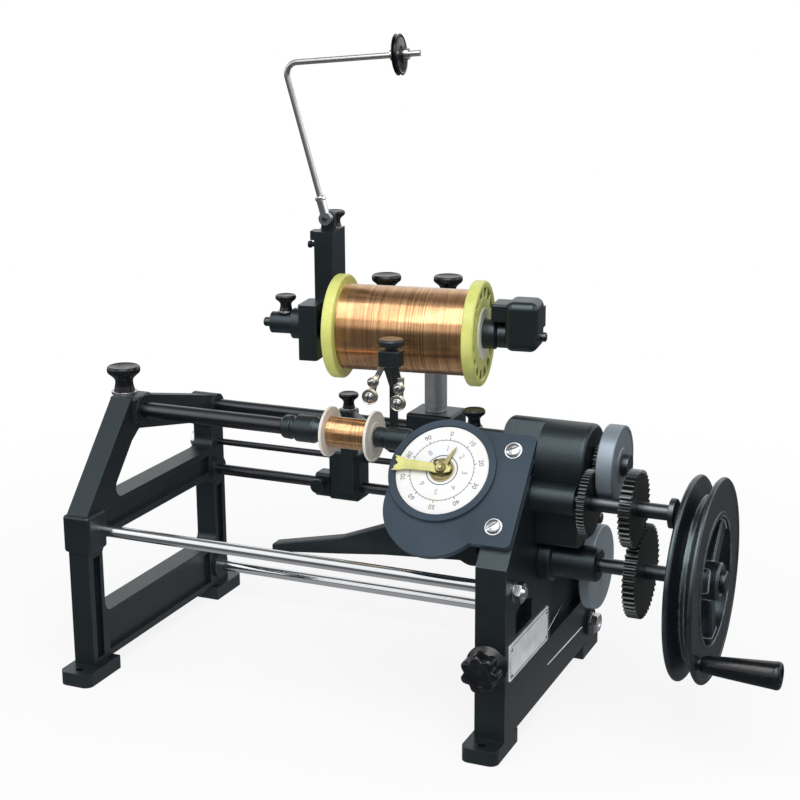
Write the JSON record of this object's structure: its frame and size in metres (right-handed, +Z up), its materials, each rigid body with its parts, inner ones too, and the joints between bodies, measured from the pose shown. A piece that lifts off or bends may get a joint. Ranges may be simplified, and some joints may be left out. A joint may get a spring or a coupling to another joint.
{
  "type": "wire coil winding machine",
  "caption": "Bench coil winder with hand wheel, geared spindle, turns dial, wire guide on rods, supply spool on a post and a sprung tension arm.",
  "frame": {"origin": "on the bench, at the centre of the four foot bolt holes", "axes": "+X along the rods towards the crank handle, +Y away from the dial's side, +Z up"},
  "size_m": [0.6036, 0.286, 0.5382],
  "materials": {
    "frame_paint": "semi-gloss textured paint",
    "stand_paint": "semi-gloss paint",
    "dial_paint": "satin paint",
    "wheel_paint": "satin",
    "dark_steel": "oiled black",
    "bright_steel": "polished",
    "wheel_nickel": "worn nickel",
    "knob_black": "glossy moulded",
    "name_silver": "satin",
    "dial_white": "satin enamel",
    "hand_brass": "satin",
    "bobbin_cream": "satin",
    "spool_lime": "satin",
    "wire_copper": "enamelled copper wire"
  },
  "bodies": {
    "frame": {"left_end_frame": "frame_paint", "right_end_frame": "frame_paint", "spindle_housing": "frame_paint", "crank_bearing": "dark_steel", "front_tie_rod": "bright_steel", "rear_tie_rod": "bright_steel", "guide_rod": "dark_steel", "carriage_rod": "dark_steel", "upper_rear_rod": "dark_steel", "tie_rod_nuts": "bright_steel", "nameplate": "name_silver", "dial_plate": "dial_paint", "dial_face": "dial_white", "plate_screws": "bright_steel", "post_base": "frame_paint", "spool_post": "bright_steel"},
    "crank": {"crank_shaft": "dark_steel", "crank_gear": "dark_steel", "handwheel": "wheel_paint", "handle_pin": "bright_steel"},
    "crank_handle": {"crank_handle": "knob_black"},
    "layshaft": {"layshaft": "dark_steel", "layshaft_wheel": "dark_steel", "layshaft_pinion": "dark_steel"},
    "spindle": {"spindle_shaft": "dark_steel", "spindle_pinion": "dark_steel", "spindle_disc": "wheel_paint", "drive_chuck": "dark_steel", "bobbin": "bobbin_cream", "bobbin_winding": "wire_copper"},
    "tail_quill": {"tail_quill": "dark_steel"},
    "live_centre": {"live_centre": "dark_steel"},
    "traverse_disc": {"traverse_disc": "wheel_paint"},
    "long_hand": {"long_hand": "hand_brass"},
    "short_hand": {"short_hand": "hand_brass"},
    "tail_lock_knob": {"tail_lock_knob": "knob_black"},
    "nose_lock_knob": {"nose_lock_knob": "knob_black"},
    "star_knob": {"star_knob": "knob_black"},
    "feed_lever": {"feed_lever": "wheel_paint"},
    "guide_carriage": {"guide_carriage": "frame_paint", "rod_clamp": "frame_paint"},
    "guide_arm": {"guide_arm": "frame_paint"},
    "guide_lock_knob": {"guide_lock_knob": "knob_black"},
    "left_guide_wheel": {"left_guide_wheel": "wheel_nickel"},
    "left_small_wheel": {"left_small_wheel": "wheel_nickel"},
    "right_guide_wheel": {"right_guide_wheel": "wheel_nickel"},
    "right_small_wheel": {"right_small_wheel": "wheel_nickel"},
    "spool_stand": {"spool_beam": "stand_paint", "left_spool_bracket": "stand_paint", "right_spool_bracket": "stand_paint"},
    "left_beam_knob": {"left_beam_knob": "knob_black"},
    "right_beam_knob": {"right_beam_knob": "knob_black"},
    "shaft_lock_screw": {"shaft_lock_screw": "knob_black"},
    "arm_lock_screw": {"arm_lock_screw": "knob_black"},
    "spool": {"spool_shaft": "bright_steel", "spool_cones": "dark_steel", "supply_spool": "spool_lime", "supply_winding": "wire_copper"},
    "tension_arm": {"tension_arm": "dark_steel"},
    "tension_pulley": {"tension_pulley": "dark_steel"}
  },
  "joints": [
    {"name": "crank_spin", "type": "hinge", "parent": "frame", "child": "crank", "pos_m": [0.26, -0.0291, 0.135], "axis": [1, 0, 0], "continuous": true},
    {"name": "handle_spin", "type": "hinge", "parent": "crank", "child": "crank_handle", "pos_m": [0.368, -0.07358, 0.0849], "axis": [1, 0, 0], "continuous": true},
    {"name": "layshaft_spin", "type": "hinge", "parent": "frame", "child": "layshaft", "pos_m": [0.25, -0.05513, 0.19401], "axis": [1, 0, 0], "continuous": true},
    {"name": "spindle_spin", "type": "hinge", "parent": "frame", "child": "spindle", "pos_m": [0.18, -0.0255, 0.2178], "axis": [1, 0, 0], "continuous": true},
    {"name": "quill_slide", "type": "slide", "parent": "frame", "child": "tail_quill", "axis": [1, 0, 0], "range_m": [-0.045, 0]},
    {"name": "centre_spin", "type": "hinge", "parent": "tail_quill", "child": "live_centre", "pos_m": [-0.015, -0.0255, 0.2178], "axis": [1, 0, 0], "continuous": true},
    {"name": "traverse_spin", "type": "hinge", "parent": "frame", "child": "traverse_disc", "pos_m": [0.2, 0.06, 0.099], "axis": [1, 0, 0], "continuous": true},
    {"name": "long_hand_turn", "type": "hinge", "parent": "frame", "child": "long_hand", "pos_m": [0.1287, -0.06785, 0.20695], "axis": [0, -0.7431, 0.6691], "continuous": true},
    {"name": "short_hand_turn", "type": "hinge", "parent": "frame", "child": "short_hand", "pos_m": [0.1287, -0.06785, 0.20695], "axis": [0, -0.7431, 0.6691], "continuous": true},
    {"name": "tail_knob_turn", "type": "hinge", "parent": "frame", "child": "tail_lock_knob", "pos_m": [-0.19, -0.0255, 0.231], "axis": [0, 0, 1], "range_deg": [0, 360]},
    {"name": "nose_knob_turn", "type": "hinge", "parent": "frame", "child": "nose_lock_knob", "pos_m": [0.137, -0.0255, 0.2348], "axis": [0, 0, 1], "range_deg": [0, 360]},
    {"name": "star_knob_turn", "type": "hinge", "parent": "frame", "child": "star_knob", "pos_m": [0.184, -0.125, 0.075], "axis": [0, -1, 0], "range_deg": [0, 360]},
    {"name": "lever_swing", "type": "hinge", "parent": "frame", "child": "feed_lever", "pos_m": [0.155, -0.07, 0.153], "axis": [0, -1, 0], "range_deg": [-12, 10]},
    {"name": "carriage_slide", "type": "slide", "parent": "frame", "child": "guide_carriage", "axis": [1, 0, 0], "range_m": [-0.04, 0.03]},
    {"name": "guide_arm_swing", "type": "hinge", "parent": "guide_carriage", "child": "guide_arm", "pos_m": [-0.028, 0.09, 0.2], "axis": [0, 0, 1], "range_deg": [-1, 8]},
    {"name": "guide_knob_turn", "type": "hinge", "parent": "guide_arm", "child": "guide_lock_knob", "pos_m": [-0.028, 0.09, 0.204], "axis": [0, 0, 1], "range_deg": [0, 360]},
    {"name": "left_guide_wheel_spin", "type": "hinge", "parent": "guide_arm", "child": "left_guide_wheel", "pos_m": [0.043, -0.0195, 0.2495], "axis": [0, 1, 0], "continuous": true},
    {"name": "left_small_wheel_spin", "type": "hinge", "parent": "guide_arm", "child": "left_small_wheel", "pos_m": [0.046, -0.0195, 0.262], "axis": [0, 1, 0], "continuous": true},
    {"name": "right_guide_wheel_spin", "type": "hinge", "parent": "guide_arm", "child": "right_guide_wheel", "pos_m": [0.068, -0.0195, 0.2465], "axis": [0, 1, 0], "continuous": true},
    {"name": "right_small_wheel_spin", "type": "hinge", "parent": "guide_arm", "child": "right_small_wheel", "pos_m": [0.069, -0.0195, 0.259], "axis": [0, 1, 0], "continuous": true},
    {"name": "stand_swivel", "type": "hinge", "parent": "frame", "child": "spool_stand", "pos_m": [0.0503, 0.106, 0.29], "axis": [0, 0, 1], "range_deg": [-10, 10]},
    {"name": "left_beam_knob_turn", "type": "hinge", "parent": "spool_stand", "child": "left_beam_knob", "pos_m": [0.00568, 0.10013, 0.306], "axis": [0, 0, 1], "range_deg": [0, 360]},
    {"name": "right_beam_knob_turn", "type": "hinge", "parent": "spool_stand", "child": "right_beam_knob", "pos_m": [0.05061, 0.13428, 0.302], "axis": [0, 0, 1], "range_deg": [0, 360]},
    {"name": "shaft_screw_turn", "type": "hinge", "parent": "spool_stand", "child": "shaft_lock_screw", "pos_m": [-0.05954, 0.03243, 0.3023], "axis": [0, 0, 1], "range_deg": [0, 360]},
    {"name": "arm_screw_turn", "type": "hinge", "parent": "spool_stand", "child": "arm_lock_screw", "pos_m": [-0.03181, 0.07462, 0.371], "axis": [0, 0, 1], "range_deg": [0, 360]},
    {"name": "spool_spin", "type": "hinge", "parent": "spool_stand", "child": "spool", "pos_m": [0.05031, 0.0469, 0.293], "axis": [0.9914, 0.1305, 0], "continuous": true},
    {"name": "arm_swing", "type": "hinge", "parent": "spool_stand", "child": "tension_arm", "pos_m": [-0.03073, 0.05499, 0.382], "axis": [-0.1305, 0.9914, 0], "range_deg": [-5, 15], "stiffness_Nm_per_rad": 5},
    {"name": "pulley_spin", "type": "hinge", "parent": "tension_arm", "child": "tension_pulley", "pos_m": [0.03492, 0.06363, 0.52065], "axis": [0.9883, 0.1301, 0.0802], "continuous": true}
  ],
  "couplings": [
    {"joint": "layshaft_spin", "follows": "crank_spin", "ratio": -1.2632},
    {"joint": "spindle_spin", "follows": "crank_spin", "ratio": 2.4291},
    {"joint": "centre_spin", "follows": "crank_spin", "ratio": 2.4291},
    {"joint": "traverse_spin", "follows": "crank_spin", "ratio": 0.2},
    {"joint": "long_hand_turn", "follows": "crank_spin", "ratio": -0.024291},
    {"joint": "short_hand_turn", "follows": "crank_spin", "ratio": -0.0024291}
  ]
}
